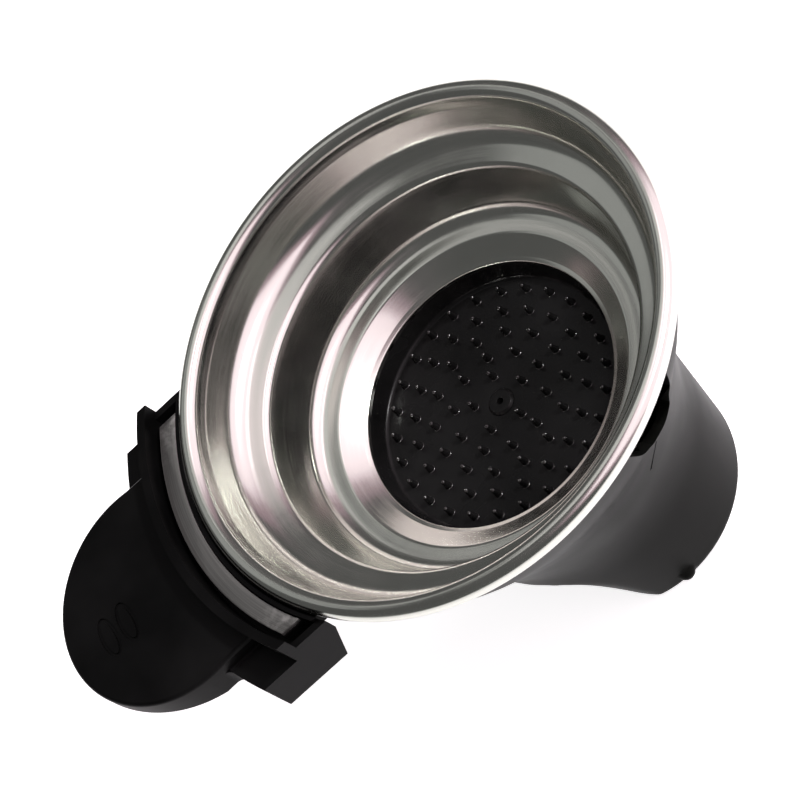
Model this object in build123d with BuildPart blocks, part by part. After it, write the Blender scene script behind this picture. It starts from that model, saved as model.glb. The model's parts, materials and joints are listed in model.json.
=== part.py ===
"""Pod holder of a coffee-pad machine: a steel cup with a pin plate, a funnel and a thumb handle.

+Z is up, along the cup's axis, and +X points from the axis to the thumb tab.  The origin is the
centre of the outlet at the funnel's lower end.  Heights of the cup are counted from the middle of
its rolled rim, so most of them are negative.  Millimetres.
"""
import os
from math import cos, radians, sin

from build123d import *

os.makedirs("parts", exist_ok=True)

# ---- driving dimensions --------------------------------------------------------------------
rim_height = 71.4        # middle of the rolled rim above the outlet
gap = 0.3                # between the cup that lifts out and the parts that stay
touch = 0.03             # between pieces that sit against each other

# steel cup
sheet = 0.5
rim_radius = 46.0
curl_radius = 1.8
curl_turn = 305          # degrees of the rolled edge
ledge_outer = (39.9, -7.3)
ledge_inner = (34.8, -8.8)
step_outer = (31.7, -19.0)
step_inner = (27.4, -19.1)
slope_end = (24.2, -21.3)
mouth_radius = 23.25     # opening that shows the pin plate
mouth_bottom = -22.6

# pin plate
plate_floor = -26.0
plate_thickness = 1.8
well_radius = 22.3
flange_radius = 27.2
flange_top = -23.1
flange_thickness = 1.5
pin_height = 2.14
pin_radius = 0.62
pin_tip_radius = 0.42
ring_pitch = 3.75
pin_counts = (5, 10, 14, 20, 26)
pin_turn = 1.9           # the plate sits this many degrees round from the handle
boss_radius = 4.6
boss_height = 4.0

# centre nozzle and froth chamber
nozzle_radius = 2.4
nozzle_bore = 0.6
groove_height = 2.6
groove_width = 1.0
groove_depth = 0.9
chamber_radius = 8.0
chamber_height = 11.0
chamber_wall = 1.2
window_width = 5.0
window_top = 2.2         # below the chamber's top
window_height = 3.2

# funnel
wall = 2.0
collar_top = -3.2
shelf_outer = (40.6, -8.7)
shelf_inner = (35.7, -10.3)
waist_height = -50.0
waist_radius = 24.3
foot_radius = 21.15
foot_fillet = 2.5
front_start = -44.9      # where the flattened front begins
front_radius = 27.2
front_foot_radius = 28.8
front_shift = 14.6       # how far the front has moved back at the foot
front_curve = 0.6        # it moves back fastest at its top
front_shares = (0, 0.1, 0.3, 0.6, 1)
notch_angle = 121.5
notch_outline = (        # across and height, for the notch on the thumb's left
    (-8.0, -2.0), (-5.6, -10.0), (-3.8, -15.0), (-1.0, -20.6), (3.7, -24.8), (6.9, -24.8), (6.9, -2.0)
)
notch_corner = 2.4
notch_depth = 36.9       # above the shelf the notch stops here, short of the cup
notch_low_depth = 29.0
shelf_underside = -13.4
slit = ((-0.1, -22.3), (-3.4, -28.9))
slit_width = 0.5
slit_depth = 30.2
nub_angle = 91.0
nub_radius = 1.7
nub_height = 3.0

# splash baffle on its posts
post_circle = 12.0
post_radius = 1.9
post_height = 6.0
peg_radius = 1.0
peg_depth = 2.0
baffle_radius = 14.0
baffle_opening = 4.0
baffle_thickness = 1.5
baffle_peak = 3.5        # radius of the low cone in its middle
baffle_rise = 1.6

# outlet
outlet_radius = 7.0
bush_radius = 8.4
bush_flange = 9.6
bush_height = 7.0
bush_flange_thickness = 1.4

# handle
half_width = 27.7        # the bracket's flat ends
lip_gap = 0.4            # between the rolled rim and the bracket's inner lip
inner_lip = 0.7
block_inner_bottom = 48.9
lug_half_width = 18.0
lug_thickness = 2.8
lug_margin = 5.0         # past the screws
screw_place = (49.5, 13.0)
screw_radius = 1.5
screw_head_radius = 2.9
screw_length = 8.0
screw_head = 2.0
recess_length = 3.0
recess_width = 0.7
recess_depth = 1.0
strip_inner = 47.3
strip_outer = 50.6
strip_half_angle = 28.9
outer_lip_inner = 51.7
outer_lip_outer = 53.3
block_outer = 59.6
block_bottom = -11.2
deck = -3.6              # the channel's floor, and the level where the neck widens
pocket_floor = -6.0
strip_seat = -1.1
strip_top = -0.3
end_wall = 1.3
pocket_gap = 0.6         # between the strip's seat and the pocket
outer_lip_top = 2.3
end_wall_top = -0.8
tab_centre = 58.3
tab_radius = 20.2
tab_top = -1.2
tab_floor = -3.0         # underside of the tab's plate, inside its skirt
skirt = 1.4
skirt_at_block = -7.6    # the skirt's lower edge climbs from the block to the tip
skirt_at_tip = -3.4
neck_half_width = 20.0
neck_root = 25.0         # half width of the part of the neck that lies below the deck
neck_fillet = 2.0
mark_place = 68.4
mark_pitch = 4.0
mark_length = 8.3
mark_width = 3.4
mark_depth = 0.25
mark_line = 0.7
mark_offset = 0.8        # the marks sit a little to one side of the middle
rib_angles = (-24, 0, 24)
rib_length = 13.0
rib_width = 1.2
rib_root = -7.4
rib_tip = -4.0


def up(height):
    """Height above the origin of a height counted from the rim."""
    return rim_height + height


def at(point):
    """A profile point (radius, height from the rim) in the profile plane."""
    return (point[0], up(point[1]))


def save(builder, name):
    builder.part.label = name
    export_step(builder.part, f"parts/{name}.step")


# ---- steel cup: one deep-drawn sheet with a rolled rim, two ledges and a turned-in mouth -----
curl_centre = (rim_radius - curl_radius, 0)
with BuildPart() as steel_cup:
    with BuildSketch(Plane.XZ):
        with BuildLine() as sheet_line:
            CenterArc(at(curl_centre), curl_radius, 180 - curl_turn, curl_turn)
            walls = Polyline(
                at((rim_radius - 2 * curl_radius, 0)),
                at(ledge_outer),
                at(ledge_inner),
                at(step_outer),
                at(step_inner),
                at(slope_end),
                at((mouth_radius, slope_end[1] - 0.35)),
                at((mouth_radius, mouth_bottom)),
            )
            offset(amount=sheet, side=Side.LEFT)
        make_face()
    revolve(axis=Axis.Z)
save(steel_cup, "steel_cup")

# ---- pin plate: black disc with rings of pins, clamped under the cup's mouth -----------------
well_top = mouth_bottom - touch
with BuildPart() as pin_plate:
    with BuildSketch(Plane.XZ):
        with BuildLine():
            Polyline(
                at((0, plate_floor - plate_thickness)),
                at((0, plate_floor)),
                at((well_radius - 0.6, plate_floor)),
                at((well_radius, plate_floor + 0.6)),
                at((mouth_radius + 0.1, well_top)),
                at((mouth_radius + sheet + 0.6, well_top)),
                at((mouth_radius + sheet + 0.6, flange_top)),
                at((flange_radius, flange_top)),
                at((flange_radius, flange_top - flange_thickness)),
                at((well_radius + 1.8, flange_top - flange_thickness)),
                at((well_radius + 1.0, plate_floor - plate_thickness)),
                close=True,
            )
        make_face()
    revolve(axis=Axis.Z)
    with BuildSketch(Plane.XY.offset(up(plate_floor - plate_thickness))):
        Circle(boss_radius)
    extrude(amount=-boss_height)
    for number, count in enumerate(pin_counts):
        ring_radius = ring_pitch * (number + 1) + ring_pitch / 3
        with BuildSketch(Plane.XY.offset(up(plate_floor - 0.2))) as feet:
            with PolarLocations(ring_radius, count, start_angle=pin_turn + 180):
                Circle(pin_radius)
        extrude(amount=pin_height + 0.2 - pin_tip_radius, taper=4)
        with PolarLocations(ring_radius, count, start_angle=pin_turn + 180):
            with Locations((0, 0, up(plate_floor + pin_height - pin_tip_radius - 0.02))):
                Sphere(pin_tip_radius)
    with BuildSketch(Plane.XY.offset(up(plate_floor + 1))):
        Circle(nozzle_radius + touch)
    extrude(amount=-(plate_thickness + boss_height + 2), mode=Mode.SUBTRACT)
save(pin_plate, "pin_plate")

# ---- nozzle: the small plug whose bore makes the jet ----------------------------------------
nozzle_bottom = plate_floor - plate_thickness - boss_height
with BuildPart() as nozzle:
    with BuildSketch(Plane.XY.offset(up(nozzle_bottom))):
        Circle(nozzle_radius)
    extrude(amount=plate_floor + 0.5 - nozzle_bottom)
    chamfer(nozzle.edges().sort_by(Axis.Z)[-1], 0.4)
    with BuildSketch(Plane.XY.offset(up(plate_floor + 1))):
        Circle(nozzle_bore)
    extrude(amount=-(boss_height + plate_thickness + 2), mode=Mode.SUBTRACT)
    with BuildSketch(Plane.XY.offset(up(nozzle_bottom + groove_height - groove_width / 2))):
        Circle(nozzle_radius + 1)
        Circle(nozzle_radius - groove_depth, mode=Mode.SUBTRACT)
    extrude(amount=groove_width, mode=Mode.SUBTRACT)
save(nozzle, "nozzle")

# ---- nozzle seal: the small ring in the nozzle's groove ---------------------------------------
with BuildPart() as nozzle_seal:
    with Locations((0, 0, up(nozzle_bottom + groove_height))):
        Torus(nozzle_radius - groove_depth / 2, groove_depth / 2 - touch)
save(nozzle_seal, "nozzle_seal")

# ---- froth chamber: a small cup under the nozzle, open through side windows ------------------
chamber_top = plate_floor - plate_thickness - touch
with BuildPart() as froth_chamber:
    with BuildSketch(Plane.XY.offset(up(chamber_top))):
        Circle(chamber_radius)
    extrude(amount=-chamber_height)
    fillet(froth_chamber.edges().sort_by(Axis.Z)[0], 2.0)
    with BuildSketch(Plane.XY.offset(up(chamber_top))):
        Circle(chamber_radius - chamber_wall)
    extrude(amount=-(chamber_height - chamber_wall), mode=Mode.SUBTRACT)
    with BuildSketch(Plane.XY.offset(up(chamber_top))):
        Circle(chamber_radius - 0.2)
        Circle(boss_radius + touch, mode=Mode.SUBTRACT)
    extrude(amount=-1.4)
    with BuildSketch(Plane.XY.offset(up(chamber_top - window_top))):
        with PolarLocations(chamber_radius, 4, start_angle=45):
            Rectangle(window_width, window_width)
    extrude(amount=-window_height, mode=Mode.SUBTRACT)
save(froth_chamber, "froth_chamber")

# ---- plate seal: rubber ring between the plate's flange and the cup's slope ------------------
seal_inner = mouth_radius + sheet + 0.75
with BuildPart() as plate_seal:
    with BuildSketch(Plane.XZ):
        with BuildLine():
            Polyline(
                at((seal_inner, flange_top + touch)),
                at((seal_inner, flange_top + 0.65)),
                at((flange_radius - 0.4, flange_top + 2.45)),
                at((flange_radius - 0.1, flange_top + 2.45)),
                at((flange_radius - 0.1, flange_top + touch)),
                close=True,
            )
        make_face()
    revolve(axis=Axis.Z)
save(plate_seal, "plate_seal")

# ---- retaining ring: steel angle ring under the second ledge that holds the plate's flange ---
ring_top = step_inner[1] - sheet - 0.2
ring_bottom = flange_top - flange_thickness - touch - sheet
with BuildPart() as retaining_ring:
    with BuildSketch(Plane.XZ):
        with BuildLine():
            Polyline(
                at((flange_radius + 0.2, ring_top)),
                at((flange_radius + 2.4, ring_top)),
                at((flange_radius + 2.4, ring_top - sheet)),
                at((flange_radius + 0.2 + sheet, ring_top - sheet)),
                at((flange_radius + 0.2 + sheet, ring_bottom)),
                at((well_radius + 2.6, ring_bottom)),
                at((well_radius + 2.6, ring_bottom + sheet)),
                at((flange_radius + 0.2, ring_bottom + sheet)),
                close=True,
            )
        make_face()
    revolve(axis=Axis.Z)
save(retaining_ring, "retaining_ring")

# ---- funnel: flared collar, cone, flattened front, outlet floor ------------------------------


def leaning_front(inset, low):
    """Everything in front of the leaning face that flattens the lower funnel."""
    with BuildPart() as outside:
        with BuildSketch(Plane.XY.offset(up(low))):
            Circle(rim_radius)
        extrude(amount=front_start - low)
        for share in front_shares:
            with BuildSketch(Plane.XY.offset(up(front_start) * (1 - share))):
                with Locations((-front_shift * share**front_curve, 0)):
                    Circle(front_radius + (front_foot_radius - front_radius) * share - inset)
        loft(mode=Mode.SUBTRACT)
    return outside.part


with BuildPart() as outer_form:
    with BuildSketch(Plane.XZ):
        with BuildLine():
            Line((0, 0), (foot_radius, 0))
            Line((foot_radius, 0), at((waist_radius, waist_height)))
            Spline(
                at((waist_radius, waist_height)),
                at((26.5, -40)),
                at((30.2, -30)),
                at((35.1, -20)),
                at((40.1, -11.5)),
                at((43.9, collar_top)),
                tangents=((0.145, 1), (0.42, 1)),
            )
            Polyline(at((43.9, collar_top)), at((0, collar_top)), (0, 0))
        make_face()
    revolve(axis=Axis.Z)
    add(leaning_front(0, -rim_height), mode=Mode.SUBTRACT)
    foot_edges = outer_form.edges().group_by(Axis.Z)[0]
    fillet(foot_edges, foot_fillet)

with BuildPart() as inner_form:
    with BuildSketch(Plane.XZ):
        with BuildLine():
            Polyline((0, wall), (foot_radius - wall, wall), at((waist_radius - wall, waist_height)))
            Spline(
                at((waist_radius - wall, waist_height)),
                at((24.5, -40)),
                at((28.2, -30)),
                at((32.9, -20)),
                at((shelf_inner[0], shelf_inner[1] - 2)),
                tangents=((0.145, 1), (0.3, 1)),
            )
            Polyline(
                at((shelf_inner[0], shelf_inner[1] - 2)),
                at(shelf_inner),
                at(shelf_outer),
                at((40.75, ledge_outer[1])),
                at((42.3, collar_top)),
                at((0, collar_top)),
                (0, wall),
            )
        make_face()
    revolve(axis=Axis.Z)
    add(leaning_front(wall, -rim_height + wall - 1), mode=Mode.SUBTRACT)

# a notch in the collar on each side, open down to below the shelf, with a slit beside it
notch_out = (cos(radians(notch_angle)), sin(radians(notch_angle)), 0)
notch_across = (-notch_out[1], notch_out[0], 0)
facing = Plane(origin=(0, 0, 0), x_dir=notch_across, z_dir=notch_out)
with BuildPart() as notches:
    for depth, ceiling in ((notch_depth, 0), (notch_low_depth, shelf_underside)):
        with BuildSketch(facing.offset(depth)):
            with BuildLine():
                Polyline(*[at(point) for point in notch_outline], close=True)
            face = make_face()
            fillet(face.vertices().sort_by(Axis.Z)[:2], notch_corner)
            with Locations((0, up(ceiling - rim_height / 2))):
                Rectangle(2 * rim_radius, rim_height, mode=Mode.INTERSECT)
        extrude(amount=rim_radius - depth)
    with BuildSketch(facing.offset(slit_depth)):
        with BuildLine():
            Line(at(slit[0]), at(slit[1]))
        trace(line_width=slit_width)
    extrude(amount=rim_radius - slit_depth)
    mirror(about=Plane.XZ)

with BuildPart() as funnel:
    add(outer_form.part)
    # the lug that carries the handle
    lug_top = block_bottom - touch
    with BuildSketch(Plane.XY.offset(up(lug_top - lug_thickness))):
        Circle(screw_place[0] + lug_margin)
        Circle(30, mode=Mode.SUBTRACT)
        with Locations((rim_radius, 0)):
            Rectangle(2 * rim_radius, 2 * lug_half_width, mode=Mode.INTERSECT)
        with Locations(*[(screw_place[0], side * screw_place[1]) for side in (1, -1)]):
            Circle(screw_radius + touch, mode=Mode.SUBTRACT)
    extrude(amount=lug_thickness)
    add(inner_form.part, mode=Mode.SUBTRACT)
    add(notches.part, mode=Mode.SUBTRACT)
    with BuildSketch(Plane.XY):
        Circle(bush_radius + touch)
    extrude(amount=wall + 1, mode=Mode.SUBTRACT)
    with BuildSketch(Plane.XY.offset(wall - 0.1)):
        with PolarLocations(post_circle, 3, start_angle=60):
            Circle(post_radius)
    extrude(amount=post_height + 0.1)
    with BuildSketch(Plane.XY.offset(wall + post_height)):
        with PolarLocations(post_circle, 3, start_angle=60):
            Circle(peg_radius)
    extrude(amount=-peg_depth - 0.2, mode=Mode.SUBTRACT)
    with PolarLocations(foot_radius - 0.1, 2, start_angle=nub_angle):
        with Locations((0, 0, nub_height)):
            Sphere(nub_radius)
save(funnel, "funnel")

# ---- cup seal: rubber ring on the funnel's shelf, under the cup's first ledge ----------------
seal_outer = (39.8, -8.96)
seal_inside = (36.2, -10.14)
with BuildPart() as cup_seal:
    with BuildSketch(Plane.XZ):
        with BuildLine():
            Polyline(
                at((seal_outer[0], seal_outer[1] + touch)),
                at((seal_outer[0], seal_outer[1] + 0.8)),
                at((seal_inside[0], seal_inside[1] + 0.9)),
                at((seal_inside[0], seal_inside[1] + touch)),
                close=True,
            )
        make_face()
    revolve(axis=Axis.Z)
save(cup_seal, "cup_seal")

# ---- outlet bush: rubber sleeve that lines the outlet ----------------------------------------
with BuildPart() as outlet_bush:
    with BuildSketch(Plane.XY):
        Circle(bush_radius)
    extrude(amount=bush_height)
    with BuildSketch(Plane.XY.offset(wall + touch)):
        Circle(bush_flange)
    extrude(amount=bush_flange_thickness)
    chamfer(outlet_bush.edges().sort_by(Axis.Z)[-1], 0.5)
    with BuildSketch(Plane.XY):
        Circle(outlet_radius)
    extrude(amount=bush_height, mode=Mode.SUBTRACT)
save(outlet_bush, "outlet_bush")

# ---- splash baffle: a disc with three edge openings, pegged to the posts above the outlet ----
with BuildPart() as splash_baffle:
    with BuildSketch(Plane.XY.offset(wall + post_height + touch)):
        Circle(baffle_radius)
        with PolarLocations(baffle_radius, 3):
            Circle(baffle_opening, mode=Mode.SUBTRACT)
    extrude(amount=baffle_thickness)
    with BuildSketch(Plane.XY.offset(wall + post_height + touch)):
        with PolarLocations(post_circle, 3, start_angle=60):
            Circle(peg_radius - touch)
    extrude(amount=-peg_depth)
    with BuildSketch(Plane.XY.offset(wall + post_height + touch + baffle_thickness)):
        Circle(baffle_peak)
    extrude(amount=baffle_rise, taper=45)
save(splash_baffle, "splash_baffle")

# ---- handle: arc bracket round the rim, with the thumb tab in one moulding -------------------
reach = block_outer + tab_radius


def arc_band(inner, outer, low, high, half_width_kept):
    """A block that follows the rim on the handle's side, with flat ends."""
    with BuildPart() as band:
        with BuildSketch(Plane.XY.offset(up(low))):
            Circle(outer)
            Circle(inner, mode=Mode.SUBTRACT)
            with Locations((reach / 2, 0)):
                Rectangle(reach, 2 * half_width_kept, mode=Mode.INTERSECT)
        extrude(amount=high - low)
    return band.part


lip_inner = rim_radius + lip_gap
lip_outer = lip_inner + inner_lip
strip_half_width = strip_outer * sin(radians(strip_half_angle))
# thumb tab: a plate with a skirt round its edge, blended into the block by a short neck
with BuildPart() as tab:
    for half, low, high in (
        (neck_root, skirt_at_block, deck),
        (neck_half_width, deck - 0.2, tab_top),
    ):
        with BuildSketch(Plane.XY.offset(up(low))) as tab_outline:
            Circle(block_outer)
            with Locations((reach / 2, 0)):
                Rectangle(reach, 2 * half, mode=Mode.INTERSECT)
            with Locations((tab_centre, 0)):
                Circle(tab_radius)
            if half == neck_root:
                corners = tab_outline.vertices().sort_by(lambda v: abs(v.Y))
                fillet(corners.filter_by_position(Axis.X, tab_centre - 3, tab_centre), neck_fillet)
            Circle(outer_lip_inner + 0.4, mode=Mode.SUBTRACT)
        extrude(amount=high - low)
    with BuildSketch(Plane.XY.offset(up(skirt_at_block))):
        with Locations((tab_centre, 0)):
            Circle(tab_radius - skirt)
        Circle(block_outer, mode=Mode.SUBTRACT)
    extrude(amount=tab_floor - skirt_at_block, mode=Mode.SUBTRACT)
    with BuildSketch(Plane.XZ):
        with BuildLine():
            Polyline(
                at((block_outer, skirt_at_block)),
                at((tab_centre + tab_radius, skirt_at_tip)),
                at((tab_centre + tab_radius, skirt_at_block)),
                close=True,
            )
        make_face()
    extrude(amount=tab_radius + 1, both=True, mode=Mode.SUBTRACT)

with BuildPart() as handle:
    add(arc_band(lip_inner, block_outer, block_bottom, deck, half_width))
    with Locations((0, 0, up((block_bottom + deck) / 2))):
        Cone(block_inner_bottom, lip_inner, deck - block_bottom, mode=Mode.SUBTRACT)
    add(arc_band(lip_inner, lip_outer, deck - 0.2, 0, half_width))
    add(arc_band(outer_lip_inner, outer_lip_outer, deck - 0.2, outer_lip_top, half_width))
    add(arc_band(strip_inner, strip_outer, deck - 0.2, strip_seat, strip_half_width))
    # the pocket and the wall at each end of the channel
    for side in (1, -1):
        pocket_width = half_width - end_wall - strip_half_width - pocket_gap
        with BuildSketch(Plane.XY.offset(up(pocket_floor))):
            Circle(outer_lip_inner)
            Circle(lip_outer + 0.4, mode=Mode.SUBTRACT)
            with Locations((reach / 2, side * (half_width - end_wall - pocket_width / 2))):
                Rectangle(reach, pocket_width, mode=Mode.INTERSECT)
        extrude(amount=deck - pocket_floor + 0.1, mode=Mode.SUBTRACT)
        with BuildSketch(Plane.XY.offset(up(deck - 0.2))):
            Circle(outer_lip_inner + 0.4)
            Circle(lip_inner, mode=Mode.SUBTRACT)
            with Locations((reach / 2, side * (half_width - end_wall / 2))):
                Rectangle(reach, end_wall, mode=Mode.INTERSECT)
        extrude(amount=end_wall_top - deck + 0.2)
    add(tab.part)
    # two ovals sunk in the tab, each with a smaller one left standing
    with BuildSketch(Plane.XY.offset(up(tab_top))):
        with Locations(*[(mark_place + side * mark_pitch / 2, mark_offset) for side in (1, -1)]):
            Ellipse(mark_width / 2, mark_length / 2)
            Ellipse(mark_width / 2 - mark_line, mark_length / 2 - mark_line, mode=Mode.SUBTRACT)
    extrude(amount=-mark_depth, mode=Mode.SUBTRACT)
    # ribs under the tab
    for angle in rib_angles:
        rib_plane = Plane(
            origin=(block_outer - 1, 0, rim_height),
            x_dir=(cos(radians(angle)), sin(radians(angle)), 0),
            z_dir=(sin(radians(angle)), -cos(radians(angle)), 0),
        )
        with BuildSketch(rib_plane):
            with BuildLine():
                rib_top = tab_floor + 0.1
                Polyline((-1, rib_top), (rib_length, rib_top), (rib_length, rib_tip), (-1, rib_root), close=True)
            make_face()
        extrude(amount=rib_width / 2, both=True)
    with BuildSketch(Plane.XY.offset(up(block_bottom))):
        with Locations(*[(screw_place[0], side * screw_place[1]) for side in (1, -1)]):
            Circle(screw_radius + touch)
    extrude(amount=screw_length - lug_thickness + 0.3, mode=Mode.SUBTRACT)
save(handle, "handle")

# ---- channel strip: satin strip that lies on its seat in the bracket's channel ---------------
with BuildPart() as channel_strip:
    add(arc_band(strip_inner, strip_outer, strip_seat + touch, strip_top, strip_half_width - 0.2))
save(channel_strip, "channel_strip")

# ---- handle screws: two pan-head screws from below, through the funnel's lug ------------------
with BuildPart() as handle_screws:
    head_top = block_bottom - touch - lug_thickness - touch
    with BuildSketch(Plane.XY.offset(up(head_top))):
        with Locations(*[(screw_place[0], side * screw_place[1]) for side in (1, -1)]):
            Circle(screw_radius)
    extrude(amount=screw_length)
    with BuildSketch(Plane.XY.offset(up(head_top))):
        with Locations(*[(screw_place[0], side * screw_place[1]) for side in (1, -1)]):
            Circle(screw_head_radius)
    extrude(amount=-screw_head)
    fillet(handle_screws.edges().group_by(Axis.Z)[0], 0.7)
    for side in (1, -1):
        with BuildSketch(Plane.XY.offset(up(head_top - screw_head))):
            with Locations((screw_place[0], side * screw_place[1])):
                Rectangle(recess_length, recess_width)
                Rectangle(recess_width, recess_length)
        extrude(amount=recess_depth, mode=Mode.SUBTRACT)
save(handle_screws, "handle_screws")
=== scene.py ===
"""Looks of the pod holder: steel cup, pin plate, flared funnel and thumb handle.

Lengths are millimetres until a vertex is made.  Heights are counted from the middle of the cup's
rolled rim, as in the part's own drawing, and rim_z places them in the frame.
"""

import json
from math import asin, atan2, cos, pi, radians, sin, sqrt, tan

import bmesh
import bpy
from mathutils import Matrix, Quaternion, Vector


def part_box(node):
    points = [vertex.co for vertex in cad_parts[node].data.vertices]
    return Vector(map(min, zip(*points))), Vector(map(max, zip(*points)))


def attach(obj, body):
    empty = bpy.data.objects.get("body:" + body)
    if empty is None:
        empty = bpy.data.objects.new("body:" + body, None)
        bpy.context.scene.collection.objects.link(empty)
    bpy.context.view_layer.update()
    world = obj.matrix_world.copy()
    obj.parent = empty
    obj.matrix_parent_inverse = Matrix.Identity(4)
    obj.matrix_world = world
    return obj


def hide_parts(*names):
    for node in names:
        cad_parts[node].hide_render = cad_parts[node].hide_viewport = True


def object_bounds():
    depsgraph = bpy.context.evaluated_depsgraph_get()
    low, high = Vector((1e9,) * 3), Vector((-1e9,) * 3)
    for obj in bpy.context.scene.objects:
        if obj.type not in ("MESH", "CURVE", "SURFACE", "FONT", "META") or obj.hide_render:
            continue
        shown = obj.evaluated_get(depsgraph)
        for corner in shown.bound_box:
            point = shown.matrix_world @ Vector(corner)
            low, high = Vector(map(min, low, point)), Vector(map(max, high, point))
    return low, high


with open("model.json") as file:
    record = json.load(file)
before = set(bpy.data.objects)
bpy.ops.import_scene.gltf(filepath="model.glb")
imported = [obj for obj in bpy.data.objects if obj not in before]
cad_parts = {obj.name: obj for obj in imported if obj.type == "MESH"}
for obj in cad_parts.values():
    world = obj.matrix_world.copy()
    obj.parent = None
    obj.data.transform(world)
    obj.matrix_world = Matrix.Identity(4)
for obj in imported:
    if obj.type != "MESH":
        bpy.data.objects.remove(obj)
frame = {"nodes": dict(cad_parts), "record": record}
cad_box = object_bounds()

MM = 0.001
touch = 0.03             # between pieces that sit against each other

# ---- sizes ---------------------------------------------------------------------------------
curl_radius = 1.8
sheet = 0.5
rim_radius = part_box("steel_cup")[1].x / MM
rim_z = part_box("steel_cup")[1].z - curl_radius * MM
rim_height = rim_z / MM

plate_floor = -26.0
well_radius = 22.3
mouth_radius = 23.25
pin_height = 2.14
pin_radius = 0.62
ring_pitch = 3.75
pin_counts = (5, 10, 14, 20, 26)
pin_turn = 1.9
nozzle_radius = 2.4

wall = 2.0
collar_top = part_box("funnel")[1].z / MM - rim_height
waist_height = -50.0
waist_radius = 24.3
foot_radius = 21.15
foot_fillet = 2.5
front_start = -44.9
front_radius = 27.2
front_foot_radius = 28.8
front_shift = 14.6
front_curve = 0.6
notch_angle = 121.5
notch_outline = (
    (6.9, -2.0), (-8.0, -2.0), (-5.6, -10.0, 3), (-3.8, -15.0, 6), (-1.0, -20.6, 5),
    (3.7, -24.8, 2.6), (6.9, -24.8, 2.4),
)
notch_depth = 36.9
notch_low_depth = 29.0
shelf_underside = -13.4
slit = ((-0.1, -22.3), (-3.4, -28.9))
slit_half_width = 0.25
slit_depth = 30.2
nub_angle = 91.0
nub_radius = 1.7
nub_height = 3.0
bush_radius = 8.4
lug_root = 37.0
lug_reach = 54.5
lug_half_width = 18.0
lug_thickness = 2.8

half_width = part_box("handle")[1].y / MM
lip_inner = rim_radius + 0.4
lip_outer = lip_inner + 0.7
strip_inner = 47.3
strip_outer = 50.6
strip_half_angle = 28.9
outer_lip_inner = 51.7
outer_lip_outer = 53.3
block_outer = 59.6
block_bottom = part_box("handle")[0].z / MM - rim_height
block_inner_bottom = 48.9
deck = -3.6
strip_seat = -1.1
strip_top = -0.3
pocket_floor = -6.0
end_wall = 1.3
outer_lip_top = 2.3
end_wall_top = -0.8
tab_radius = 20.2
tab_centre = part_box("handle")[1].x / MM - tab_radius
tab_top = -1.2
tab_floor = -3.0
skirt = 1.4
skirt_at_block = -7.6
skirt_at_tip = -3.4
neck_half_width = 20.0
neck_root = 25.0
neck_fillet = 2.0
mark_offset = 0.8
mark_place = 68.4
mark_pitch = 4.0
mark_length = 8.3
mark_width = 3.4
mark_depth = 0.25
mark_line = 0.7
rib_angles = (-24, 0, 24)
rib_length = 13.0
rib_width = 1.2
rib_root = -7.4
rib_tip = -4.0


# ---- outlines --------------------------------------------------------------------------------
def rounded(points, closed=False, steps=7):
    """A path through (x, y) points; a third number rounds that corner with that radius."""
    path = []
    count = len(points)
    for index, point in enumerate(points):
        here = Vector(point[:2])
        radius = point[2] if len(point) > 2 else 0
        at_end = not closed and index in (0, count - 1)
        if at_end or not radius:
            path.append(here)
            continue
        before = Vector(points[index - 1][:2]) - here
        after = Vector(points[(index + 1) % count][:2]) - here
        room = 0.49 * min(before.length, after.length)
        before.normalize()
        after.normalize()
        half = before.angle(after) / 2
        run = min(radius / tan(half), room)
        radius = run * tan(half)
        centre = here + (before + after).normalized() * radius / sin(half)
        start = here + before * run - centre
        end = here + after * run - centre
        first = atan2(start.y, start.x)
        turn = (atan2(end.y, end.x) - first + pi) % (2 * pi) - pi
        for step in range(steps + 1):
            angle = first + turn * step / steps
            path.append(centre + radius * Vector((cos(angle), sin(angle))))
    return path


def thick(path, amount):
    """The closed outline of a sheet: the path, and its copy moved to the left of travel."""
    moved = []
    for index, point in enumerate(path):
        along = path[min(index + 1, len(path) - 1)] - path[max(index - 1, 0)]
        along.normalize()
        moved.append(point + Vector((-along.y, along.x)) * amount)
    return list(path) + moved[::-1]


def split_long(path, longest, closed=True):
    """The same path with extra points, so that no step is longer than this."""
    dense = []
    count = len(path)
    for index in range(count if closed else count - 1):
        start, end = path[index], path[(index + 1) % count]
        parts = max(1, int((end - start).length / longest + 0.999))
        dense += [start.lerp(end, part / parts) for part in range(parts)]
    return dense if closed else dense + [path[-1]]


# ---- meshes ----------------------------------------------------------------------------------
def place(radius, height, angle):
    return (radius * cos(angle) * MM, radius * sin(angle) * MM, rim_z + height * MM)


def to_object(name, made, sharp=35):
    bmesh.ops.remove_doubles(made, verts=made.verts, dist=1e-7)
    bmesh.ops.recalc_face_normals(made, faces=made.faces)
    mesh = bpy.data.meshes.new(name)
    made.to_mesh(mesh)
    made.free()
    mesh.shade_smooth()
    mesh.set_sharp_from_angle(angle=radians(sharp))
    piece = bpy.data.objects.new(name, mesh)
    bpy.context.scene.collection.objects.link(piece)
    return piece


def lathe(name, outline, turns=288, warp=None):
    """A closed outline of (radius, height) turned about the axis."""
    made = bmesh.new()
    columns = []
    for turn in range(turns):
        angle = 2 * pi * turn / turns
        column = []
        for radius, height in outline:
            if warp:
                radius, height = warp(radius, height, angle)
            column.append(made.verts.new(place(radius, height, angle)))
        columns.append(column)
    for turn in range(turns):
        here, there = columns[turn], columns[(turn + 1) % turns]
        for step in range(len(outline)):
            after = (step + 1) % len(outline)
            made.faces.new((here[step], there[step], there[after], here[after]))
    return to_object(name, made)


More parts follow.
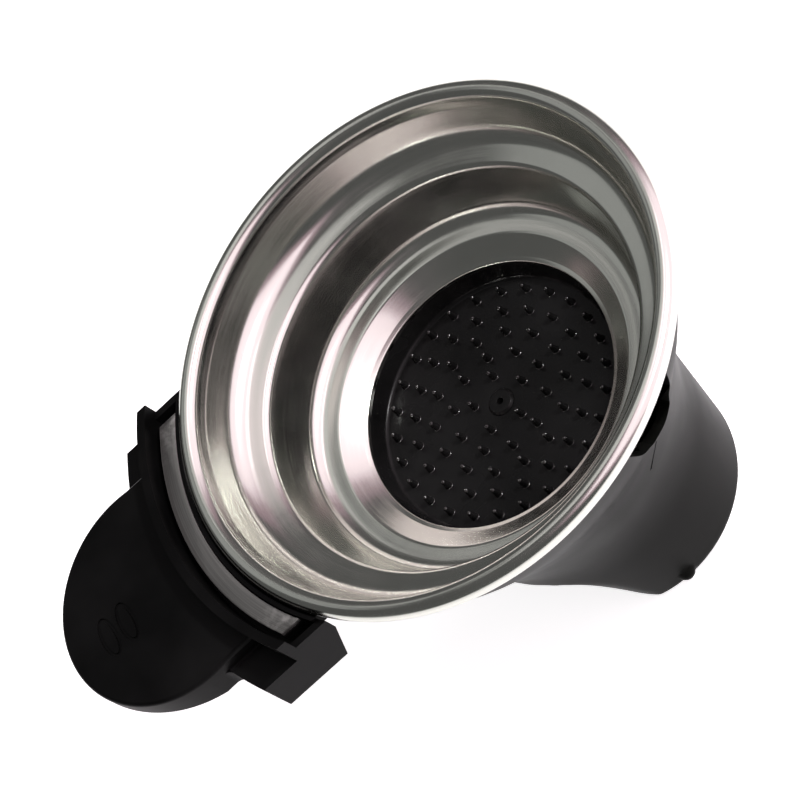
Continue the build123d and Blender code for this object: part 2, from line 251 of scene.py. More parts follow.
def bevel(piece, width, segments=3, angle=40):
    """Rounds the sharp edges and keeps the flats flat."""
    rounding = piece.modifiers.new("rounding", "BEVEL")
    rounding.width = width * MM
    rounding.segments = segments
    rounding.limit_method = "ANGLE"
    rounding.angle_limit = radians(angle)
    flatten = piece.modifiers.new("flatten", "WEIGHTED_NORMAL")
    flatten.keep_sharp = True
    flatten.weight = 100
    return rounding


def boolean(piece, other, operation):
    """Joins or cuts a piece with another, which is then thrown away."""
    cut = piece.modifiers.new(operation, "BOOLEAN")
    cut.operation = operation
    cut.object = other
    cut.solver = "EXACT"
    apply_modifiers(piece)
    bpy.data.objects.remove(other)


def apply_modifiers(piece):
    ready = piece.evaluated_get(bpy.context.evaluated_depsgraph_get())
    mesh = bpy.data.meshes.new_from_object(ready)
    piece.modifiers.clear()
    piece.data = mesh
    mesh.shade_smooth()
    mesh.set_sharp_from_angle(angle=radians(35))


def plate(name, outline, low, high, low_round=0.0, high_round=0.0, steps=4):
    """A flat plate from a closed (x, y) outline, with its upper and lower edges rounded."""
    levels = []
    for step in range(steps + 1 if low_round else 1):
        turn = pi / 2 * step / steps
        levels.append((low_round * (1 - sin(turn)), low + low_round * (1 - cos(turn))))
    for step in range(steps + 1 if high_round else 1):
        turn = pi / 2 * step / steps
        levels.append((high_round * (1 - cos(turn)), high - high_round * (1 - sin(turn))))
    made = bmesh.new()
    rings = []
    count = len(outline)
    inward = []
    for index, point in enumerate(outline):
        along = (outline[(index + 1) % count] - outline[index - 1]).normalized()
        inward.append(Vector((-along.y, along.x)))
    for inset, height in levels:
        rings.append([
            made.verts.new(((p.x + inset * n.x) * MM, (p.y + inset * n.y) * MM, rim_z + height * MM))
            for p, n in zip(outline, inward)
        ])
    for lower, upper in zip(rings, rings[1:]):
        for index in range(count):
            after = (index + 1) % count
            made.faces.new((lower[index], lower[after], upper[after], upper[index]))
    made.faces.new(rings[0][::-1])
    made.faces.new(rings[-1])
    return to_object(name, made)


# ---- steel cup -------------------------------------------------------------------------------
def make_cup():
    curl_centre = rim_radius - curl_radius
    curl = []
    curl_steps = 44
    for step in range(curl_steps):
        angle = radians(-125 + 305 * step / curl_steps)
        curl.append(Vector((curl_centre + curl_radius * cos(angle), curl_radius * sin(angle))))
    walls = rounded([
        (curl_centre - curl_radius, 0),
        (curl_centre - curl_radius - 0.35, -1.5, 4),
        (39.8, -7.35, 4.6),
        (34.8, -8.8, 1.6),
        (31.7, -19.05, 4.2),
        (27.4, -19.2, 1.3),
        (24.1, -21.4, 0.5),
        (mouth_radius, -21.75, 0.35),
        (mouth_radius, -22.6),
    ], steps=9)
    outline = thick(split_long(curl + walls, 1.2, closed=False), sheet)
    return lathe("pod_cup", outline, turns=360)


# ---- pin plate -------------------------------------------------------------------------------
def add_pin(made, x, y, sides=16):
    """One pin: a small foot, a slightly tapered shank and a domed tip."""
    tip = 0.42
    shape = [(pin_radius + 0.12, 0.0), (pin_radius + 0.03, 0.06), (pin_radius, 0.16)]
    shape.append((tip + 0.02, pin_height - tip))
    for step in range(1, 5):
        angle = pi / 2 * step / 5
        shape.append((tip * cos(angle), pin_height - tip + tip * sin(angle)))
    rings = []
    for radius, height in shape:
        rings.append([
            made.verts.new((
                (x + radius * cos(2 * pi * side / sides)) * MM,
                (y + radius * sin(2 * pi * side / sides)) * MM,
                rim_z + (plate_floor + height) * MM,
            ))
            for side in range(sides)
        ])
    top = made.verts.new((x * MM, y * MM, rim_z + (plate_floor + pin_height) * MM))
    for lower, upper in zip(rings, rings[1:]):
        for side in range(sides):
            after = (side + 1) % sides
            made.faces.new((lower[side], lower[after], upper[after], upper[side]))
    for side in range(sides):
        made.faces.new((rings[-1][side], rings[-1][(side + 1) % sides], top))
    made.faces.new(rings[0][::-1])


def make_plate():
    underside = plate_floor - 1.8
    outline = rounded([
        (nozzle_radius + touch, underside - 4.0),
        (nozzle_radius + touch, plate_floor, 0.04),
        (well_radius, plate_floor, 0.9),
        (mouth_radius + 0.1, -22.65, 0.1),
        (24.35, -22.65),
        (24.35, -23.1),
        (27.2, -23.1, 0.2),
        (27.2, -24.6, 0.2),
        (24.1, -24.6),
        (23.3, underside, 0.6),
        (4.6, underside, 0.4),
        (4.6, underside - 4.0, 0.4),
    ], closed=True)
    dish = lathe("pin_plate_dish", split_long(outline, 2.5), turns=180)
    made = bmesh.new()
    for number, count in enumerate(pin_counts):
        ring_radius = ring_pitch * (number + 1) + ring_pitch / 3
        for pin in range(count):
            angle = radians(pin_turn + 180) + 2 * pi * pin / count
            add_pin(made, ring_radius * cos(angle), ring_radius * sin(angle))
    pins = to_object("pin_plate_pins", made, sharp=50)
    return dish, pins


def make_nozzle():
    low, top = plate_floor - 5.8, plate_floor + 0.5
    outline = rounded([
        (0.6, low),
        (0.6, top, 0.05),
        (nozzle_radius - 0.4, top, 0.1),
        (nozzle_radius, top - 0.4, 0.1),
        (nozzle_radius, low + 3.1),
        (nozzle_radius - 0.9, low + 3.1),
        (nozzle_radius - 0.9, low + 2.1),
        (nozzle_radius, low + 2.1),
        (nozzle_radius, low),
    ], closed=True)
    return lathe("jet_nozzle", outline, turns=64)


# ---- funnel ----------------------------------------------------------------------------------
def through(knots, height, first_slope, last_slope):
    """A smooth curve of radius against height through (radius, height) knots."""
    slopes = [first_slope]
    for before, after in zip(knots, knots[2:]):
        slopes.append((after[0] - before[0]) / (after[1] - before[1]))
    slopes.append(last_slope)
    for index in range(len(knots) - 1):
        (r0, z0), (r1, z1) = knots[index], knots[index + 1]
        if height <= z1 or index == len(knots) - 2:
            span = z1 - z0
            t = (height - z0) / span
            return (
                (2 * t ** 3 - 3 * t ** 2 + 1) * r0
                + (t ** 3 - 2 * t ** 2 + t) * span * slopes[index]
                + (3 * t ** 2 - 2 * t ** 3) * r1
                + (t ** 3 - t ** 2) * span * slopes[index + 1]
            )


def cone_radius(height):
    share = (height + rim_height) / (waist_height + rim_height)
    return foot_radius + share * (waist_radius - foot_radius)


outer_knots = (
    (waist_radius, waist_height), (26.5, -40), (30.2, -30), (35.1, -20), (40.1, -11.5), (43.9, collar_top)
)
waist_slope = 0.147      # radius gained for each millimetre of height
outer_top_slope = 0.44
inner_top_slope = 0.3
inner_start = -14.0
inner_knots = ((waist_radius - wall, waist_height), (24.5, -40), (28.2, -30), (32.9, -20), (35.7, -12.3))


def lean(height, angle, inset):
    """Radius of the leaning face that flattens the front of the lower funnel."""
    share = (front_start - height) / (front_start + rim_height)
    back = front_shift * max(share, 0) ** front_curve
    radius = front_radius + (front_foot_radius - front_radius) * share - inset
    return -back * cos(angle) + sqrt(radius ** 2 - (back * sin(angle)) ** 2)


def softened(excess, softness=0.17):
    """How much to take off where something stands out by excess, with a soft start."""
    return (excess + sqrt(excess ** 2 + softness ** 2)) / 2


def funnel_warp(radius, height, angle):
    """Flattens the front, and raises the two small nubs at the foot."""
    if height < front_start:
        inside = radius < cone_radius(height) - wall / 2 and height > wall - rim_height - 0.01
        inset = wall if inside else 0
        excess = cone_radius(height) - inset - lean(height, angle, inset)
        fade = min(1, max(0, (radius - 10) / 8))
        if excess > -3:
            radius -= softened(excess) * fade
        rise = height + rim_height - nub_height
        if not inside and abs(rise) < nub_radius and radius > foot_radius - 2:
            off = (angle - radians(nub_angle) + pi / 2) % pi - pi / 2
            seat = foot_radius - 0.1
            bulge = nub_radius ** 2 - rise ** 2 - (seat * sin(off)) ** 2
            if abs(off) < 0.3 and bulge > 0:
                radius = max(radius, seat * cos(off) + sqrt(bulge))
    return radius, height


def radial_bar(outline, depth, angle, side):
    """A bar with this outline, across and height, that points outwards from this depth."""
    out = Vector((cos(radians(angle)), side * sin(radians(angle)), 0))
    across = Vector((-sin(radians(angle)), side * cos(radians(angle)), 0))
    made = bmesh.new()
    rings = []
    for reach in (depth, 49.0):
        rings.append([
            made.verts.new((out * reach + across * p.x + Vector((0, 0, p.y))) * MM + Vector((0, 0, rim_z)))
            for p in outline
        ])
    count = len(outline)
    for index in range(count):
        after = (index + 1) % count
        made.faces.new((rings[0][index], rings[0][after], rings[1][after], rings[1][index]))
    made.faces.new(rings[0])
    made.faces.new(rings[1][::-1])
    return to_object("cutter", made)


def below(outline, ceiling):
    """The part of a closed outline, across and height, that lies under a height."""
    kept = []
    for index, here in enumerate(outline):
        after = outline[(index + 1) % len(outline)]
        if here.y <= ceiling:
            kept.append(here)
        if (here.y - ceiling) * (after.y - ceiling) < 0:
            kept.append(here.lerp(after, (here.y - ceiling) / (here.y - after.y)))
    return kept


def make_funnel():
    outline = rounded([
        (bush_radius + touch, -rim_height),
        (foot_radius, -rim_height, foot_fillet),
        (cone_radius(-60), -60),
    ], steps=14)
    outline.pop()
    height = outline[-1].y
    while height < collar_top - 1.6:
        height += 0.55 if height < -rim_height + 6 else 1.5
        if height < waist_height:
            reach = cone_radius(height)
        else:
            reach = through(outer_knots, height, waist_slope, outer_top_slope)
        outline.append(Vector((reach, height)))
    outline += rounded([
        outline[-1][:],
        (43.9, collar_top, 0.6),
        (42.3, collar_top, 0.3),
        (40.75, -7.3, 0.5),
        (40.6, -8.7, 0.4),
        (35.7, -10.3, 0.4),
        (35.7, -12.3, 1.0),
        (through(inner_knots, inner_start, waist_slope, inner_top_slope), inner_start),
    ], steps=5)[1:]
    height = inner_start
    while height > -rim_height + wall + 2.5:
        height -= 2.0
        if height < waist_height:
            inner = cone_radius(height) - wall
        else:
            inner = through(inner_knots, height, waist_slope, inner_top_slope)
        outline.append(Vector((inner, height)))
    outline += rounded([
        outline[-1][:],
        (foot_radius - wall, -rim_height + wall, 1.2),
        (bush_radius + touch, -rim_height + wall),
    ], steps=5)[1:]
    body = lathe("flared_funnel", split_long(outline, 3.0), turns=320, warp=funnel_warp)
    notch = rounded(notch_outline, closed=True, steps=8)
    start, end = Vector(slit[0]), Vector(slit[1])
    half = Vector((start.y - end.y, end.x - start.x)).normalized() * slit_half_width
    slot = [start + half, start - half, end - half, end + half]
    for side in (1, -1):
        boolean(body, radial_bar(notch, notch_depth, notch_angle, side), "DIFFERENCE")
        low_notch = below(notch, shelf_underside)
        boolean(body, radial_bar(low_notch, notch_low_depth, notch_angle, side), "DIFFERENCE")
        boolean(body, radial_bar(slot, slit_depth, notch_angle, side), "DIFFERENCE")
    lug_top = block_bottom - touch
    # it starts inside the funnel's wall, so that nothing of it reaches the cup
    lug_outline = arc_outline(lug_root, lug_reach, lug_half_width)
    lug = plate("lug", lug_outline, lug_top - lug_thickness, lug_top, 0.4, 0.2)
    boolean(body, lug, "UNION")
    bevel(body, 0.22, 2, 50)
    return body


# ---- handle ----------------------------------------------------------------------------------
def arc_outline(inner, outer, reach, step=0.9):
    """Outline of a band that follows the rim and ends flat, this far to each side."""
    outline = []
    for radius, way in ((outer, 1), (inner, -1)):
        steps = int(2 * reach / step)
        for index in range(steps + 1):
            y = way * reach * (2 * index / steps - 1)
            outline.append(Vector((sqrt(radius ** 2 - y ** 2), y)))
    return outline


def terrace(name, radii, stations, height, low, low_inner):
    """A block round the rim whose top has a height of its own in each cell.

    radii are the cell borders outwards.  stations are the borders along the rim, each a
    function from radius to y.  height(cell, station) is the top of the cell.
    """
    made = bmesh.new()

    def corner(ring, station, level):
        radius = radii[ring]
        if level < deck:
            share = (radii[-1] - radius) / (radii[-1] - radii[0])
            radius += share * (low_inner - radii[0]) * (deck - level) / (deck - low)
        y = stations[station](radius)
        return made.verts.new((sqrt(radius ** 2 - y ** 2) * MM, y * MM, rim_z + level * MM))

    def wall_face(a, b, lower, upper):
        levels = sorted({lower, upper} | {level for level in (pocket_floor, deck) if lower < level < upper})
        for under, over in zip(levels, levels[1:]):
            made.faces.new((corner(*a, under), corner(*b, under), corner(*b, over), corner(*a, over)))

    rings, runs = len(radii) - 1, len(stations) - 1
    for run in range(runs):
        for ring in range(rings):
            top = height(ring, run)
            quad = ((ring, run), (ring + 1, run), (ring + 1, run + 1), (ring, run + 1))
            made.faces.new([corner(*c, top) for c in quad])
            made.faces.new([corner(*c, low) for c in quad][::-1])
            beyond = height(ring + 1, run) if ring + 1 < rings else low
            wall_face((ring + 1, run), (ring + 1, run + 1), min(top, beyond), max(top, beyond))
            if ring == 0:
                wall_face((0, run), (0, run + 1), low, top)
            beyond = height(ring, run + 1) if run + 1 < runs else low
            wall_face((ring, run + 1), (ring + 1, run + 1), min(top, beyond), max(top, beyond))
            if run == 0:
                wall_face((ring, 0), (ring + 1, 0), low, top)
    return to_object(name, made)


def make_bracket():
    radii = (lip_inner, lip_outer, strip_inner, strip_outer, outer_lip_inner, outer_lip_outer, block_outer)
    strip_reach = strip_outer * sin(radians(strip_half_angle))
    inside = half_width - end_wall
    borders = [-half_width, -inside, -strip_reach]
    middle = 64
    borders += [strip_reach * (2 * step / middle - 1) for step in range(1, middle)]
    borders += [strip_reach, inside, half_width]
    stations = [lambda radius, y=y: y for y in borders]
    last = len(borders) - 2

    def height(ring, run):
        if ring == 4:
            return outer_lip_top
        if ring == 5:
            return deck
        if run in (0, last):
            return end_wall_top
        if ring == 0:
            return 0.0
        if run in (1, last - 1):
            return pocket_floor
        return strip_seat if ring == 2 else deck

    return terrace("bracket", radii, stations, height, block_bottom, block_inner_bottom)


def tab_outline(half_width_of_neck, corner):
    """The round tab and the neck that runs into the block's outer face."""
    start_x = outer_lip_inner + 0.5
    block_meets = (block_outer ** 2 - tab_radius ** 2 + tab_centre ** 2) / (2 * tab_centre)
    meet = sqrt(block_outer ** 2 - block_meets ** 2)
    if corner:
        first = atan2(meet, block_meets - tab_centre)
    else:
        first = pi - asin(half_width_of_neck / tab_radius)
    steps = 120
    outline = []
    for step in range(steps + 1):
        angle = first * (2 * step / steps - 1)
        outline.append((tab_centre + tab_radius * cos(angle), tab_radius * sin(angle)))
    if corner:
        # the arc is cut short, and its end is carried on to the corner with the block's face
        skip = 6
        outline = outline[skip:-skip]
        outline.insert(0, (block_meets, -meet, corner))
        outline.append((block_meets, meet, corner))
        side_x = sqrt(block_outer ** 2 - half_width_of_neck ** 2)
        outline.append((side_x, half_width_of_neck))
    for step in range(41):
        y = half_width_of_neck * (1 - 2 * step / 40)
        outline.append((sqrt(start_x ** 2 - y ** 2), y))
    if corner:
        outline.append((side_x, -half_width_of_neck))
    return rounded(outline, closed=True, steps=6)


def oval_cutter(centre_x):
    """A ring-shaped cutter that sinks one oval mark and leaves a smaller oval standing."""
    made = bmesh.new()
    sides = 48
    rings = []
    for grow, level in ((0, 1.0), (0, -mark_depth), (-mark_line, -mark_depth), (-mark_line, 1.0)):
        rings.append([
            made.verts.new((
                (centre_x + (mark_width / 2 + grow) * cos(2 * pi * side / sides)) * MM,
                (mark_offset + (mark_length / 2 + grow) * sin(2 * pi * side / sides)) * MM,
                rim_z + (tab_top + level) * MM,
            ))
            for side in range(sides)
        ])
    for ring in range(4):
        upper, lower = rings[ring], rings[(ring + 1) % 4]
        for side in range(sides):
            after = (side + 1) % sides
            made.faces.new((upper[side], upper[after], lower[after], lower[side]))
    return to_object("cutter", made)


def skirt_floor_cutter():
    """What lies under the skirt's lower edge, which climbs from the block to the tip."""
    tip = tab_centre + tab_radius
    slope = (skirt_at_tip - skirt_at_block) / (tip - block_outer)
    made = bmesh.new()
    sides = []
    for y in (-30, 30):
        sides.append([
            made.verts.new((x * MM, y * MM, rim_z + height * MM))
            for x, height in (
                (block_outer, skirt_at_block - 4),
                (tip + 2, skirt_at_block - 4),
                (tip + 2, skirt_at_tip + 2 * slope),
                (block_outer, skirt_at_block),
            )
        ])
    for index in range(4):
        after = (index + 1) % 4
        made.faces.new((sides[0][index], sides[0][after], sides[1][after], sides[1][index]))
    made.faces.new(sides[0])
    made.faces.new(sides[1][::-1])
    return to_object("cutter", made)


def tab_hollow():
    """The space inside the tab's skirt, short of the block."""
    radius = tab_radius - skirt
    corner_x = (block_outer ** 2 - radius ** 2 + tab_centre ** 2) / (2 * tab_centre)
    corner_y = sqrt(block_outer ** 2 - corner_x ** 2)
    last = atan2(corner_y, corner_x - tab_centre)
    outline = []
    for step in range(81):
        angle = last * (step / 40 - 1)
        outline.append(Vector((tab_centre + radius * cos(angle), radius * sin(angle))))
    for step in range(1, 40):
        y = corner_y * (1 - step / 20)
        outline.append(Vector((sqrt(block_outer ** 2 - y ** 2), y)))
    return plate("cutter", outline, skirt_at_block - 1, tab_floor, 0, 0.6)


def make_handle():
    body = make_bracket()
    tab = plate("tab", tab_outline(neck_half_width, 0), deck - 0.2, tab_top, 0, 0.7, 5)
    for side in (1, -1):
        boolean(tab, oval_cutter(mark_place + side * mark_pitch / 2), "DIFFERENCE")
    under = plate("under", tab_outline(neck_root, neck_fillet), skirt_at_block, deck - 0.03)
    boolean(tab, under, "UNION")
    boolean(tab, tab_hollow(), "DIFFERENCE")
    boolean(tab, skirt_floor_cutter(), "DIFFERENCE")
    boolean(body, tab, "UNION")
    for angle in rib_angles:
        boolean(body, rib(radians(angle)), "UNION")
    body.name = "thumb_handle"
    bevel(body, 0.28, 3, 40)
    return body


def rib(angle):
    """A tapering rib under the tab."""
    along = Vector((cos(angle), sin(angle), 0))
    across = Vector((-sin(angle), cos(angle), 0))
    start = Vector((block_outer - 1, 0, 0))
    rib_top = tab_floor + 0.3
    made = bmesh.new()
    sides = []
    for way in (-rib_width / 2, rib_width / 2):
        sides.append([
            made.verts.new((start + along * run + across * way + Vector((0, 0, level))) * MM
                           + Vector((0, 0, rim_z)))
            for run, level in ((-1, rib_top), (rib_length, rib_top), (rib_length, rib_tip), (-1, rib_root))
        ])
    for index in range(4):
        after = (index + 1) % 4
        made.faces.new((sides[0][index], sides[0][after], sides[1][after], sides[1][index]))
    made.faces.new(sides[0])
    made.faces.new(sides[1][::-1])
    return to_object("rib", made)


def make_strip():
    reach = strip_outer * sin(radians(strip_half_angle)) - 0.2
    outline = arc_outline(strip_inner + touch, strip_outer - touch, reach)
    return plate("channel_strip_skin", outline, strip_seat + touch, strip_top, 0.05, 0.14, 3)


# ---- materials -------------------------------------------------------------------------------
class Look:
    """A material being put together from nodes."""

    def __init__(self, name, color, roughness, metallic=0.0):
        self.material = bpy.data.materials.new(name)
        self.material.use_nodes = True
        self.nodes = self.material.node_tree.nodes
        self.links = self.material.node_tree.links
        self.shader = self.nodes["Principled BSDF"]
        self.shader.inputs["Base Color"].default_value = (*color, 1)
        self.shader.inputs["Roughness"].default_value = roughness
        self.shader.inputs["Metallic"].default_value = metallic

    def node(self, kind, **settings):
        made = self.nodes.new(kind)
        for key, value in settings.items():
            setattr(made, key, value)
        return made

    def join(self, source, target):
        self.links.new(source, target)

    def math(self, operation, first, second=None):
        made = self.node("ShaderNodeMath", operation=operation)
        for slot, value in enumerate((first, second)):
            if value is None:
                continue
            if isinstance(value, (int, float)):
                made.inputs[slot].default_value = value
            else:
                self.join(value, made.inputs[slot])
        return made.outputs[0]

    def place(self):
        """Object coordinates in millimetres."""
        texture = self.node("ShaderNodeTexCoord")
        scale = self.node("ShaderNodeVectorMath", operation="SCALE")
        scale.inputs["Scale"].default_value = 1 / MM
        self.join(texture.outputs["Object"], scale.inputs[0])
        return scale.outputs[0]

    def split(self, vector):
        parts = self.node("ShaderNodeSeparateXYZ")
        self.join(vector, parts.inputs[0])
        return parts.outputs

    def combine(self, x, y, z):
        made = self.node("ShaderNodeCombineXYZ")
        for slot, value in enumerate((x, y, z)):
            if isinstance(value, (int, float)):
                made.inputs[slot].default_value = value
            else:
                self.join(value, made.inputs[slot])
        return made.outputs[0]

    def noise(self, vector, scale, detail=3.0, roughness=0.55, w=None):
        made = self.node("ShaderNodeTexNoise", noise_dimensions="4D" if w is not None else "3D")
        made.inputs["Scale"].default_value = scale
        made.inputs["Detail"].default_value = detail
        made.inputs["Roughness"].default_value = roughness
        self.join(vector, made.inputs["Vector"])
        if w is not None:
            self.join(w, made.inputs["W"])
        return made.outputs[0]

    def span(self, value, low, high, to_low, to_high, clamp=True):
        made = self.node("ShaderNodeMapRange", clamp=clamp)
        self.join(value, made.inputs["Value"])
        for key, number in (("From Min", low), ("From Max", high), ("To Min", to_low), ("To Max", to_high)):
            made.inputs[key].default_value = number
        return made.outputs["Result"]

    def blend(self, factor, first, second):
        made = self.node("ShaderNodeMix", data_type="RGBA")
        self.join(factor, made.inputs["Factor"])
        for slot, value in (("A", first), ("B", second)):
            socket = [s for s in made.inputs if s.name == slot and s.type == "RGBA"][0]
            if isinstance(value, tuple):
                socket.default_value = (*value, 1)
            else:
                self.join(value, socket)
        return [s for s in made.outputs if s.type == "RGBA"][0]

    def bump(self, height, strength, distance, after=None):
        made = self.node("ShaderNodeBump")
        made.inputs["Strength"].default_value = strength
        made.inputs["Distance"].default_value = distance * MM
        self.join(height, made.inputs["Height"])
        if after is not None:
            self.join(after, made.inputs["Normal"])
        return made.outputs[0]

    def finish(self, color=None, roughness=None, normal=None):
        for socket, value in (("Base Color", color), ("Roughness", roughness), ("Normal", normal)):
            if value is not None:
                self.join(value, self.shader.inputs[socket])
        return self.material


def turned(look, across=7.0, along=1.3):
    """Fine lines that run round the axis: their height, and the axis coordinates."""
    place = look.place()
    x, y, z = look.split(place)
    squared = look.math("ADD", look.math("MULTIPLY", x, x), look.math("MULTIPLY", y, y))
    radius = look.math("SQRT", squared)
    cosine = look.math("MULTIPLY", look.math("DIVIDE", x, radius), along)
    sine = look.math("MULTIPLY", look.math("DIVIDE", y, radius), along)
    lines = look.combine(look.math("MULTIPLY", radius, across), look.math("MULTIPLY", z, across), cosine)
    fine = look.noise(lines, 1.0, 2.0, 0.7, w=sine)
    return place, radius, z, x, y, fine


def steel_look(name, polish=0.17, tint=(0.58, 0.59, 0.545)):
    look = Look(name, tint, polish, 1.0)
    place, radius, z, x, y, fine = turned(look)
    smudge = look.noise(place, 0.09, 4.0, 0.6)
    rough = look.span(smudge, 0.35, 0.7, polish - 0.02, polish + 0.06)
    rough = look.math("ADD", rough, look.span(fine, 0.3, 0.7, -0.025, 0.035))
    shade = look.blend(look.span(fine, 0.25, 0.75, 0, 1), tuple(c * 0.93 for c in tint), tint)
    shade = look.blend(look.span(smudge, 0.55, 0.8, 0, 0.12), shade, tuple(c * 0.8 for c in tint))
    normal = look.bump(fine, 0.12, 0.02)
    # stretch marks that the draw leaves on the radius above the second ledge
    spokes = look.combine(
        look.math("MULTIPLY", look.math("DIVIDE", x, radius), 60.0),
        look.math("MULTIPLY", look.math("DIVIDE", y, radius), 60.0),
        look.math("MULTIPLY", z, 0.5),
    )
    marks = look.noise(spokes, 1.0, 2.0, 0.6)
    level = look.math("SUBTRACT", z, rim_height - 16.8)
    band = look.span(look.math("ABSOLUTE", level), 0.6, 2.4, 1.0, 0.0)
    normal = look.bump(look.math("MULTIPLY", marks, band), 0.3, 0.04, after=normal)
    look.shader.inputs["Anisotropic"].default_value = 0.35
    return look.finish(shade, rough, normal)


def plastic_look(name, color, roughness, grain=0.05, scuff=0.1, shine=0.12):
    """Moulded plastic: fine grain, uneven gloss, and a few light scuffs."""
    look = Look(name, color, roughness)
    place = look.place()
    cloudy = look.noise(place, 0.06, 3.0, 0.5)
    fine = look.noise(place, 9.0, 2.0, 0.6)
    scratches = look.noise(look.combine(*[
        look.math("MULTIPLY", part, factor)
        for part, factor in zip(look.split(place), (0.25, 2.5, 1.2))
    ]), 1.4, 3.0, 0.7)
    rough = look.span(cloudy, 0.3, 0.7, roughness - 0.04, roughness + 0.06)
    rough = look.math("ADD", rough, look.span(scratches, 0.62, 0.8, 0.0, scuff))
    pale = tuple(min(1, c * 1.6 + 0.004) for c in color)
    shade = look.blend(look.span(cloudy, 0.35, 0.75, 0, 1), color, pale)
    normal = look.bump(fine, grain, 0.03)
    look.shader.inputs["Specular IOR Level"].default_value = shine
    return look.finish(shade, rough, normal)


def strip_look():
    """Satin grey strip with lines along its length and handling marks at its ends."""
    look = Look("strip_grey", (0.2, 0.2, 0.19), 0.38, 0.8)
    place, radius, z, x, y, fine = turned(look, 6.0, 2.0)
    patches = look.noise(place, 0.5, 4.0, 0.65)
    edge = look.span(look.math("ABSOLUTE", y), 16.0, 24.0, 0.0, 1.0)
    wear = look.math("MULTIPLY", edge, look.span(patches, 0.45, 0.7, 0, 1))
    shade = look.blend(look.span(fine, 0.3, 0.7, 0, 1), (0.13, 0.13, 0.124), (0.24, 0.24, 0.228))
    shade = look.blend(wear, shade, (0.4, 0.4, 0.38))
    rough = look.math("ADD", look.span(fine, 0.3, 0.7, 0.3, 0.42), look.math("MULTIPLY", wear, 0.15))
    return look.finish(shade, rough, look.bump(fine, 0.2, 0.02))


looks = {
    "cup_steel": steel_look("cup_steel"),
    "ring_steel": steel_look("ring_steel", 0.3, (0.5, 0.5, 0.5)),
    "screw_steel": steel_look("screw_steel", 0.32, (0.45, 0.45, 0.46)),
    "plate_black": plastic_look("plate_black", (0.003, 0.003, 0.003), 0.25, 0.02, 0.05),
    "pin_black": plastic_look("pin_black", (0.003, 0.003, 0.003), 0.13, 0.0, 0.0, shine=0.6),
    "inner_plastic": plastic_look("inner_plastic", (0.02, 0.02, 0.02), 0.4),
    "funnel_black": plastic_look("funnel_black", (0.002, 0.0022, 0.0018), 0.36, 0.03, 0.06, shine=0.02),
    "handle_black": plastic_look("handle_black", (0.0015, 0.0015, 0.0015), 0.42, 0.06, 0.1, shine=0.07),
    "strip_grey": strip_look(),
    "seal_rubber": plastic_look("seal_rubber", (0.012, 0.012, 0.012), 0.6, 0.12, 0.05),
}


def dress(piece, look):
    piece.data.materials.clear()
    piece.data.materials.append(looks[look])


def add_piece(piece, nodes, slot, body, look=None):
    dress(piece, look or slot)
    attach(piece, body)
    if nodes:
        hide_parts(*nodes)


# ---- the object ------------------------------------------------------------------------------
add_piece(make_cup(), ["steel_cup"], "cup_steel", "cup")
dish, pins = make_plate()
add_piece(dish, ["pin_plate"], "plate_black", "cup")
add_piece(pins, ["pin_plate"], "plate_black", "cup", "pin_black")
add_piece(make_nozzle(), ["nozzle"], "plate_black", "cup")
add_piece(make_funnel(), ["funnel"], "funnel_black", "holder")
add_piece(make_handle(), ["handle"], "handle_black", "holder")
add_piece(make_strip(), ["channel_strip"], "strip_grey", "holder")
replaced = {"steel_cup", "pin_plate", "nozzle", "funnel", "handle", "channel_strip"}
slots = {entry["node"]: entry["material_slot"] for entry in frame["record"]["subparts"]}
for node, piece in frame["nodes"].items():
    if node not in replaced:
        dress(piece, slots[node])
        piece.data.shade_smooth()
        piece.data.set_sharp_from_angle(angle=radians(30))


# ---- stage -----------------------------------------------------------------------------------
def make_floor():
    made = bmesh.new()
    bmesh.ops.create_grid(made, x_segments=8, y_segments=8, size=3.0)
    floor = to_object("floor", made)
    floor.location = (0, 0, cad_box[0].z)
    look = Look("floor_white", (0.93, 0.93, 0.93), 0.6)
    look.shader.inputs["Emission Color"].default_value = (1, 1, 1, 1)
    look.shader.inputs["Emission Strength"].default_value = 0.8
    look.shader.inputs["Specular IOR Level"].default_value = 0.1
    grain = look.noise(look.place(), 0.02, 2.0)
    floor.data.materials.append(look.finish(roughness=look.span(grain, 0.3, 0.7, 0.55, 0.65)))


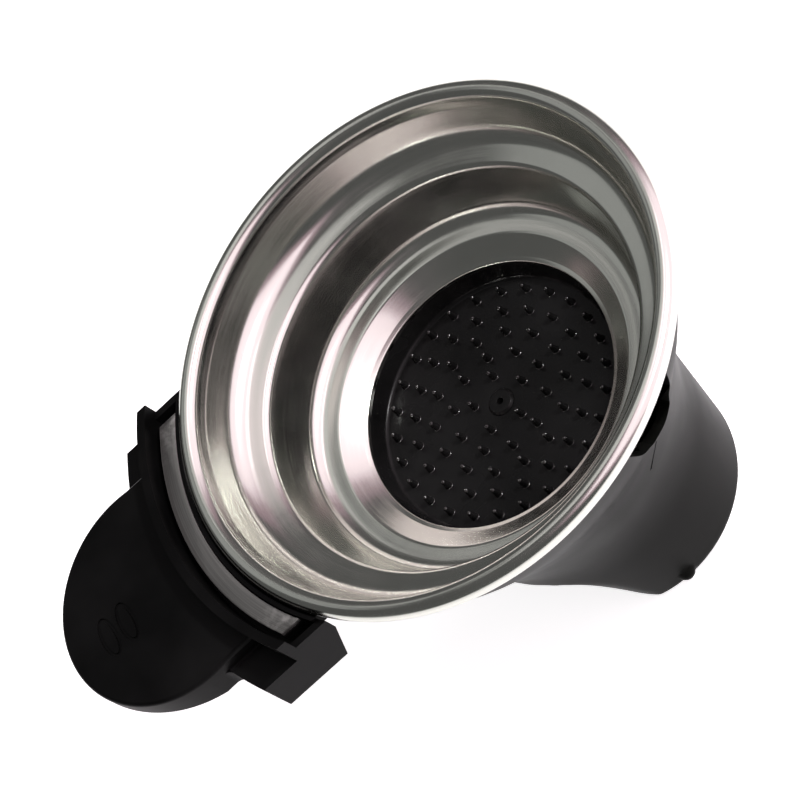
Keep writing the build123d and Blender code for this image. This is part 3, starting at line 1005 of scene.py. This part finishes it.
def softbox(name, azimuth, elevation, distance, width, height, power, color=(1, 1, 1)):
    """A rectangular light that faces the cup's mouth."""
    light = bpy.data.lights.new(name, "AREA")
    light.shape = "RECTANGLE"
    light.size, light.size_y = width, height
    light.energy = power
    light.color = color
    lamp = bpy.data.objects.new(name, light)
    bpy.context.scene.collection.objects.link(lamp)
    flat = cos(radians(elevation))
    way = Vector((cos(radians(azimuth)) * flat, sin(radians(azimuth)) * flat, sin(radians(elevation))))
    lamp.location = Vector((0, 0, rim_z)) + way * distance
    lamp.rotation_euler = way.to_track_quat("Z", "Y").to_euler()
    return lamp


def make_world():
    """White below the horizon, where the floor goes on, and dim above it."""
    world = bpy.data.worlds.new("studio")
    bpy.context.scene.world = world
    world.use_nodes = True
    nodes, links = world.node_tree.nodes, world.node_tree.links
    background = nodes["Background"]
    texture = nodes.new("ShaderNodeTexCoord")
    parts = nodes.new("ShaderNodeSeparateXYZ")
    ramp = nodes.new("ShaderNodeValToRGB")
    links.new(texture.outputs["Generated"], parts.inputs[0])
    links.new(parts.outputs["Z"], ramp.inputs[0])
    ramp.color_ramp.elements[0].position = 0.0
    ramp.color_ramp.elements[0].color = (1, 1, 1, 1)
    ramp.color_ramp.elements[1].position = 0.06
    ramp.color_ramp.elements[1].color = (0.12, 0.12, 0.12, 1)
    links.new(ramp.outputs[0], background.inputs[0])
    background.inputs[1].default_value = 1.0


def make_camera():
    azimuth, elevation, roll = radians(107.69), radians(50.31), radians(-56.18)
    distance = 501.78
    aim = Vector((7.55, 5.95, rim_height)) * MM
    way = Vector((cos(azimuth) * cos(elevation), sin(azimuth) * cos(elevation), sin(elevation)))
    camera = bpy.data.objects.new("camera", bpy.data.cameras.new("camera"))
    bpy.context.scene.collection.objects.link(camera)
    camera.location = aim + way * distance * MM
    camera.rotation_mode = "QUATERNION"
    camera.rotation_quaternion = way.to_track_quat("Z", "Y") @ Quaternion((0, 0, 1), roll)
    camera.data.sensor_width = 36
    camera.data.lens = 143.58
    camera.data.clip_start = 0.01
    bpy.context.scene.camera = camera


make_floor()
make_world()
make_camera()
softbox("key", 165, 38, 0.85, 1.45, 1.5, 9, (1.0, 0.88, 0.95))
softbox("key_border", 165, 38, 0.95, 2.3, 2.2, 6, (1.0, 0.6, 0.75))
softbox("key_core", 165, 45, 0.8, 0.08, 0.08, 4.5)
softbox("overhead", 255, 68, 0.9, 0.6, 0.5, 0.75, (1.0, 0.97, 0.97))
softbox("side", 312, 40, 0.9, 0.5, 0.5, 0.25)
bpy.context.scene.view_settings.view_transform = "Standard"
